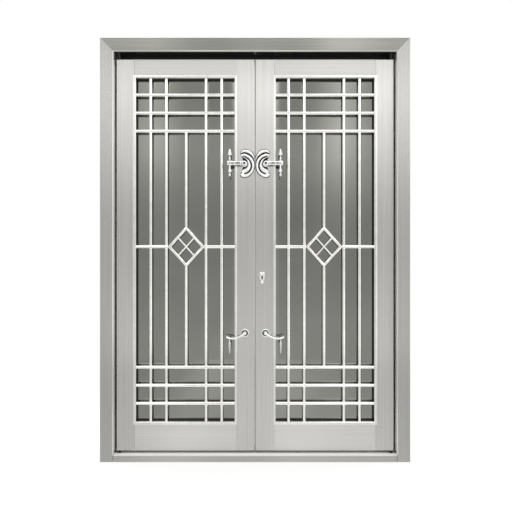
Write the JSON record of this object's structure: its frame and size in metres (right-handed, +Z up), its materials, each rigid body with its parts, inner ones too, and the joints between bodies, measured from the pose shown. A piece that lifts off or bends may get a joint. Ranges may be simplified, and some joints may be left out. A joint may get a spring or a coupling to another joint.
{
  "type": "steel double door",
  "caption": "Brushed stainless steel double door in its frame, with grey panes behind welded tube grilles, scroll-plate lever handles above and curved ones below.",
  "frame": {"origin": "on the underside of the threshold, midway between the jambs and midway through the frame", "axes": "+Z up, +X to the right and -Y towards a person who faces the front of the door"},
  "size_m": [1.755, 0.175, 2.4],
  "materials": {
    "frame_steel": "satin brushed",
    "leaf_steel": "satin brushed",
    "bead_steel": "semi-polished",
    "polished_steel": "polished",
    "pivot_steel": "turned",
    "stop_paint": "matt black",
    "gasket_rubber": "matt grey",
    "pane_glass": "grey, opaque"
  },
  "bodies": {
    "frame": {"frame_head": "frame_steel", "head_stop": "stop_paint", "left_jamb": "frame_steel", "left_stop": "frame_steel", "pivot_pins": "pivot_steel", "right_jamb": "frame_steel", "right_stop": "frame_steel", "threshold": "frame_steel"},
    "left_leaf": {"left_back_beads": "bead_steel", "left_back_roses": "polished_steel", "left_bottom_rail": "leaf_steel", "left_diamond": "polished_steel", "left_front_beads": "bead_steel", "left_glass": "pane_glass", "left_grille": "polished_steel", "left_hinge_stile": "leaf_steel", "left_lower_rose": "polished_steel", "left_meeting_stile": "leaf_steel", "left_pivot_bushes": "pivot_steel", "left_scroll_plate": "polished_steel", "left_top_rail": "leaf_steel"},
    "right_leaf": {"right_back_beads": "bead_steel", "right_back_roses": "polished_steel", "right_bottom_rail": "leaf_steel", "right_diamond": "polished_steel", "right_front_beads": "bead_steel", "right_glass": "pane_glass", "right_grille": "polished_steel", "right_hinge_stile": "leaf_steel", "right_lower_rose": "polished_steel", "right_meeting_stile": "leaf_steel", "right_pivot_bushes": "pivot_steel", "right_scroll_plate": "polished_steel", "right_top_rail": "leaf_steel", "key_escutcheons": "polished_steel", "meeting_gasket": "gasket_rubber"},
    "left_upper_handle": {"left_upper_lever": "polished_steel", "left_upper_back_lever": "polished_steel"},
    "left_lower_handle": {"left_lower_lever": "polished_steel", "left_lower_back_lever": "polished_steel"},
    "right_upper_handle": {"right_upper_lever": "polished_steel", "right_upper_back_lever": "polished_steel"},
    "right_lower_handle": {"right_lower_lever": "polished_steel", "right_lower_back_lever": "polished_steel"}
  },
  "joints": [
    {"name": "left_leaf_swing", "type": "hinge", "parent": "frame", "child": "left_leaf", "pos_m": [-0.78, -0.01, 1.172], "axis": [0, 0, -1], "range_deg": [0, 90]},
    {"name": "left_upper_handle_turn", "type": "hinge", "parent": "left_leaf", "child": "left_upper_handle", "pos_m": [-0.061, -0.062, 1.692], "axis": [0, -1, 0], "range_deg": [0, 40], "stiffness_Nm_per_rad": 2, "springref_deg": -34.38},
    {"name": "left_lower_handle_turn", "type": "hinge", "parent": "left_leaf", "child": "left_lower_handle", "pos_m": [-0.059, -0.062, 0.724], "axis": [0, -1, 0], "range_deg": [0, 40], "stiffness_Nm_per_rad": 2, "springref_deg": -34.38},
    {"name": "right_leaf_swing", "type": "hinge", "parent": "frame", "child": "right_leaf", "pos_m": [0.78, -0.01, 1.172], "axis": [0, 0, 1], "range_deg": [0, 90]},
    {"name": "right_upper_handle_turn", "type": "hinge", "parent": "right_leaf", "child": "right_upper_handle", "pos_m": [0.061, -0.062, 1.692], "axis": [0, 1, 0], "range_deg": [0, 40], "stiffness_Nm_per_rad": 2, "springref_deg": -34.38},
    {"name": "right_lower_handle_turn", "type": "hinge", "parent": "right_leaf", "child": "right_lower_handle", "pos_m": [0.059, -0.062, 0.724], "axis": [0, 1, 0], "range_deg": [0, 40], "stiffness_Nm_per_rad": 2, "springref_deg": -34.38}
  ]
}
